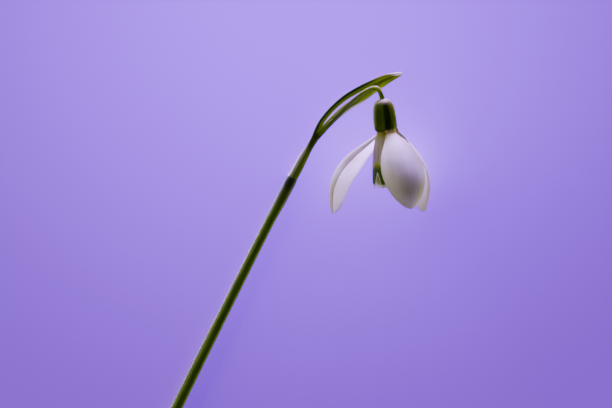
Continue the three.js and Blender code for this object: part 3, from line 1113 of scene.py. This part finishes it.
innerPetals = {
    "azimuths": {"inner_tepal_right": 20, "inner_tepal_left": 140, "inner_tepal_back": 260},
    "longer": {"inner_tepal_back": 1.055},
    "shape": {
        "width": 6.1, "cup": 60, "twist": (4, 5),
        "spine": [(1.45, 0.35), (2.3, 2.0), (2.7, 6.0), (2.85, 10.4)],
        "widestAt": 0.7, "clawShare": 0.46, "bluntness": 0.0, "clawShift": (0.08, 0.32),
        "clawTint": (0.02, 0.24), "clawDeep": 0.0, "rolledShade": 0.0, "wave": 0.02, "seed": 21,
    },
    "notchDepth": 0.2,
    "notchHalfWidth": 0.27,
    "notchCurve": 1.3,
    "shoulderDepth": 0.2,
    "shoulderCurve": 5,
    "skin": {
        "outside": ((0.54, 0.53, 0.41), (0.32, 0.32, 0.2)),  # the white and the stripes in it, both dimmed to a warm grey as painted shade, as in the shade among the outer petals
        "inside": ((0.82, 0.86, 0.24), (0.62, 0.68, 0.12)),
        "stripeScale": (26, 1.5, 1),
        "stripeEdge": (0.45, 0.7),
        "claw": (0.5, 0.53, 0.12),
        "rim": (0.85, 0.85, 0.8),
        "rimFrom": (0.93, 0.97),
        "markTop": (0.6, 0.68, 0.03),
        "markBody": (0.06, 0.17, 0.003),
        "markTopEnds": (0.6, 0.74),
        "markFrom": 0.56,  # where the mark starts on the middle line
        "markSlope": 0.38,  # how much later it starts towards the sides
        "markCurve": 1.4,
        "markEdge": 0.08,
        "markWander": 0.09,
        "markTipGap": (0.97, 0.935),  # it stays clear of the tip and of the sides
        "markSideGap": (0.96, 0.8),
        "insideStripes": 9,
        "insideEdge": (-0.1, 0.6),
        "insideFrom": (0.3, 0.5),
        "insideShare": 0.6,
        "cells": 7000,
        "cellShare": 0.3,
        "roughness": 0.4,
        "roughSwing": 0.2,
        "through": 0.3,
        "clawThrough": 0.2,
        "gloss": 0.1,
        "sheen": 0.0,
    },
}


def notchedEnd(v):
    # where an inner petal ends at v, as a share of its length
    side = abs(v)
    notch = max(0, 1 - (side / innerPetals["notchHalfWidth"]) ** innerPetals["notchCurve"])
    shoulder = side ** innerPetals["shoulderCurve"]
    return 1 - innerPetals["notchDepth"] * notch - innerPetals["shoulderDepth"] * shoulder


def outsideMark(tree, side, where):
    # the arch of green above the notch
    look = innerPetals["skin"]
    start = times(tree, calc(tree, "POWER", side, look["markCurve"]), look["markSlope"])
    start = plus(tree, start, look["markFrom"])
    return easeNode(tree, 0.0, look["markEdge"], calc(tree, "SUBTRACT", where, start))


def insideMark(tree, side, where):
    # green stripes along the petal
    look = innerPetals["skin"]
    band = calc(tree, "COSINE", times(tree, side, math.pi * look["insideStripes"]))
    stripes = easeNode(tree, *look["insideEdge"], band)
    mark = times(tree, stripes, easeNode(tree, *look["insideFrom"], where))
    return times(tree, mark, look["insideShare"])


def markedPetal(name, face, markAt):
    look = innerPetals["skin"]
    white, stripes = look[face]
    material, tree = startMaterial(name)
    uv, across, along = surfacePlaces(tree)
    station, claw = [storedShare(tree, share) for share in ("station", "claw")]
    side = gap(tree, times(tree, across, 2.0), 1.0)
    stripe = stretchedNoise(tree, uv, look["stripeScale"], detail=4.0)
    cells = grain(tree, look["cells"])
    colour = blendColour(tree, easeNode(tree, *look["stripeEdge"], stripe), white, stripes)
    colour = blendColour(tree, claw, colour, look["claw"])
    colour = blendColour(tree, easeNode(tree, *look["rimFrom"], station), colour, look["rim"])
    wander = times(tree, calc(tree, "SUBTRACT", stripe, 0.5), look["markWander"])
    mark = markAt(tree, side, plus(tree, along, wander))
    clear = easeNode(tree, *look["markTipGap"], station)
    clear = times(tree, clear, easeNode(tree, *look["markSideGap"], side))
    paint = easeNode(tree, *look["markTopEnds"], along)
    paint = blendColour(tree, paint, look["markTop"], look["markBody"])
    colour = blendColour(tree, times(tree, mark, clear), colour, paint)
    height = plus(tree, stripe, times(tree, cells, look["cellShare"]))
    rough = plus(tree, look["roughness"], times(tree, cells, look["roughSwing"]))
    endMaterial(tree, petalShader(tree, colour, height, rough, claw, look))
    return material


def buildInnerPetals():
    marked = [
        markedPetal("marked_petal", "outside", outsideMark),
        markedPetal("marked_petal_inside", "inside", insideMark),
    ]
    for name, azimuth in innerPetals["azimuths"].items():
        longer = innerPetals["longer"].get(name, 1)
        shape = dict(innerPetals["shape"])
        shape["spine"] = [(out, down * longer) for out, down in shape["spine"]]
        buildPetal(name, shape, azimuth, notchedEnd, marked)


buildInnerPetals()
print("inner petals done")


# stamens and style

stamen = {
    "count": 6,
    # radius and height
    "profile": [
        (0.12, 0), (0.11, 0.6), (0.13, 1.1), (0.31, 1.5),
        (0.36, 2.3), (0.3, 3.9), (0.15, 5.6), (0.04, 6.35),
    ],
    "footRadius": 0.72,
    "footDepth": 0.3,
    "splay": 3,
    "grooves": 4,
    "grooveDepth": 0.16,
    "groovedFrom": (0.3, 0.5),
    "sides": 20,
    "stepsEach": 5,
    "skin": {
        "run": [
            (0.0, (0.6, 0.62, 0.42)),
            (0.26, (0.55, 0.5, 0.25)),
            (0.34, (0.8, 0.5, 0.1)),
            (0.98, (0.62, 0.34, 0.08)),
        ],
        "grain": 9000,
        "gloss": 0.3,
    },
}

style = {
    "profile": [(0.15, 0.3), (0.17, 2.5), (0.19, 5.0), (0.22, 8.0), (0.2, 9.0), (0.12, 9.45), (0.04, 9.58)],
    "sides": 16,
    "stepsEach": 6,
    "skin": {
        "run": [(0.0, (0.5, 0.55, 0.3)), (0.6, (0.7, 0.68, 0.5)), (0.95, (0.45, 0.5, 0.2))],
        "grain": 7000,
        "gloss": 0.35,
    },
}

slimTissue = {
    "speckle": (0.6, 0.42, 0.16),
    "speckleShare": 0.35,
    "roughness": 0.4,
    "roughSwing": 0.3,
    "bump": (0.6, 0.05),
    "endPoint": 0.02,  # how far the middle of the tip stands out
}


def turnedMesh(shape, grooveAt):
    # a turned shape along Z; grooveAt(share, turn) gives how much to take off the radius
    mesh = bmesh.new()
    curve = throughPoints([(*point, 0) for point in shape["profile"]], shape["stepsEach"])
    last = len(curve) - 1
    rings = []
    for i, (radius, height, _) in enumerate(curve):
        ring = []
        for turn in turnsRound(shape["sides"]):
            size = radius * (1 - grooveAt(i / last, turn))
            ring.append((math.cos(turn) * size, math.sin(turn) * size, height))
        rings.append(ring)
    addTube(mesh, rings, (0, 0, curve[0][1]), (0, 0, curve[-1][1] + slimTissue["endPoint"]))
    return mesh


def slimSkin(name, look):
    # a colour run along the piece with a speckle over it
    tissue = slimTissue
    material, tree = startMaterial(name)
    _, _, along = surfacePlaces(tree)
    speckle = grain(tree, look["grain"])
    colour = ramp(tree, along, look["run"])
    colour = blendColour(tree, times(tree, speckle, tissue["speckleShare"]), colour, tissue["speckle"])
    shader = addNode(tree, "BsdfPrincipled", {
        "Base Color": colour,
        "Roughness": plus(tree, tissue["roughness"], times(tree, speckle, tissue["roughSwing"])),
        "Specular IOR Level": look["gloss"],
        "Normal": bumpNode(tree, speckle, *tissue["bump"]),
    })
    endMaterial(tree, shader.outputs[0])
    return material


def antherGroove(share, turn):
    groove = max(0, math.cos(stamen["grooves"] * turn))
    return stamen["grooveDepth"] * groove * ease(*stamen["groovedFrom"], share)


def buildStamens():
    skin = slimSkin("anther_skin", stamen["skin"])
    foot = Matrix.Translation(Vector((stamen["footRadius"], 0, stamen["footDepth"])) * mm)
    splay = Matrix.Rotation(math.radians(stamen["splay"]), 4, "Y")
    for i, turn in enumerate(turnsRound(stamen["count"])):
        place = head @ Matrix.Rotation(turn, 4, "Z") @ foot @ splay
        node = "stamen_" + str(i + 1)
        makePiece(node + "_fine", turnedMesh(stamen, antherGroove), [skin], place, [node])


def buildStyle():
    skin = slimSkin("style_skin", style["skin"])
    pin = turnedMesh(style, lambda share, turn: 0)
    makePiece("style_fine", pin, [skin], head, ["style"])


buildStamens()
buildStyle()
print("stamens and style done")


# table, light and camera

table = {
    "size": 3.0,  # metres
    "steps": 12,
    "below": 0.01,  # mm under the flower
    "colour": (0.42, 0.2, 0.8),
    "cloud": (0.55, 0.45, 0.85),
    "cloudShare": 0.12,
    "cloudGrain": 18,
    "roughness": 0.75,
    "gloss": 0.15,
    "glow": (0.22, 0.015, 1.0),  # the table is a softly lit panel
    "glowMiddle": (1.0, 39.0),  # it is brightest here, in mm from the top of the stalk
    "glowReach": 100.0,
    "glowStrength": (2.75, 0.92),  # in the middle and beyond that reach
}


def litPanel():
    material, tree = startMaterial("lit_panel")
    soft = times(tree, grain(tree, table["cloudGrain"]), table["cloudShare"])
    where = addNode(tree, "TexCoord", {}).outputs["Object"]
    middle = stalkTop + Vector((*table["glowMiddle"], 0)) * mm
    away = addNode(tree, "VectorMath", {0: where, 1: tuple(middle)}, operation="DISTANCE").outputs["Value"]
    near, far = table["glowStrength"]
    fade = {"Value": away, "From Max": table["glowReach"] * mm, "To Min": near, "To Max": far}
    shader = addNode(tree, "BsdfPrincipled", {
        "Base Color": blendColour(tree, soft, table["colour"], table["cloud"]),
        "Roughness": table["roughness"],
        "Specular IOR Level": table["gloss"],
        "Emission Color": table["glow"],
        "Emission Strength": addNode(tree, "MapRange", fade, interpolation_type="SMOOTHSTEP").outputs[0],
    })
    endMaterial(tree, shader.outputs[0])
    return material


def buildTable():
    mesh = bmesh.new()
    steps = table["steps"]
    marks = [mix(-0.5, 0.5, i / steps) * table["size"] / mm for i in range(steps + 1)]
    rings = [[(x, y, -table["below"]) for x in marks] for y in marks]
    addSkin(mesh, rings, lambda i, j: (j / steps, i / steps), wrap=False)
    data = bpy.data.meshes.new("table")
    mesh.to_mesh(data)
    mesh.free()
    data.materials.append(litPanel())
    floor = bpy.data.objects.new("table", data)
    bpy.context.scene.collection.objects.link(floor)
    floor.visible_shadow = False  # lamps under the panel shine through it
    floor.visible_diffuse = False  # and its own colour stays off the flower
    floor.visible_glossy = False
    floor.visible_transmission = False


lights = {
    "roomColour": (0.85, 0.95, 0.35),
    "roomStrength": 0.115,
    "distance": 0.7,  # metres
    "lamps": {
        # azimuth from +X towards +Y, elevation, width, height, power, colour; degrees, metres, watts
        "topWindow": (85, -15, 0.4, 0.2, 54.0, (0.54, 0.255, 1.0)),
        "underTable": (126, -52, 0.7, 0.5, 33.0, (0.56, 0.35, 1.0)),
        "leftFill": (150, 12, 0.7, 0.5, 3.4, (1.0, 0.78, 0.8)),
        "rightRim": (-24, -24, 0.4, 0.2, 3.0, (1.0, 0.95, 0.35)),
    },
}


def buildLights():
    for name, (azimuth, elevation, width, height, power, colour) in lights["lamps"].items():
        data = bpy.data.lights.new(name, "AREA")
        data.shape = "RECTANGLE"
        data.size = width
        data.size_y = height
        data.energy = power
        data.color = colour
        lamp = bpy.data.objects.new(name, data)
        bpy.context.scene.collection.objects.link(lamp)
        a = math.radians(azimuth)
        e = math.radians(elevation)
        away = Vector((math.cos(a) * math.cos(e), math.sin(a) * math.cos(e), math.sin(e)))
        lamp.location = head.translation + away * lights["distance"]
        lamp.rotation_euler = away.to_track_quat("Z", "Y").to_euler()
    world = bpy.data.worlds.new("room")
    world.use_nodes = True
    bpy.context.scene.world = world
    background = world.node_tree.nodes["Background"]
    background.inputs["Color"].default_value = (*lights["roomColour"], 1)
    background.inputs["Strength"].default_value = lights["roomStrength"]


view = {
    "lens": 100,
    "sensor": 36,
    "clip": (0.01, 20),
    "place": (2.8, -4.88, 324.6),  # from the top of the stalk, so straight above, looking down
}


def buildCamera():
    data = bpy.data.cameras.new("camera")
    data.lens = view["lens"]
    data.sensor_width = view["sensor"]
    data.clip_start, data.clip_end = view["clip"]
    camera = bpy.data.objects.new("camera", data)
    camera.location = stalkTop + Vector(view["place"]) * mm
    bpy.context.scene.collection.objects.link(camera)
    bpy.context.scene.camera = camera


buildTable()
buildLights()
buildCamera()
print("table, light and camera done")
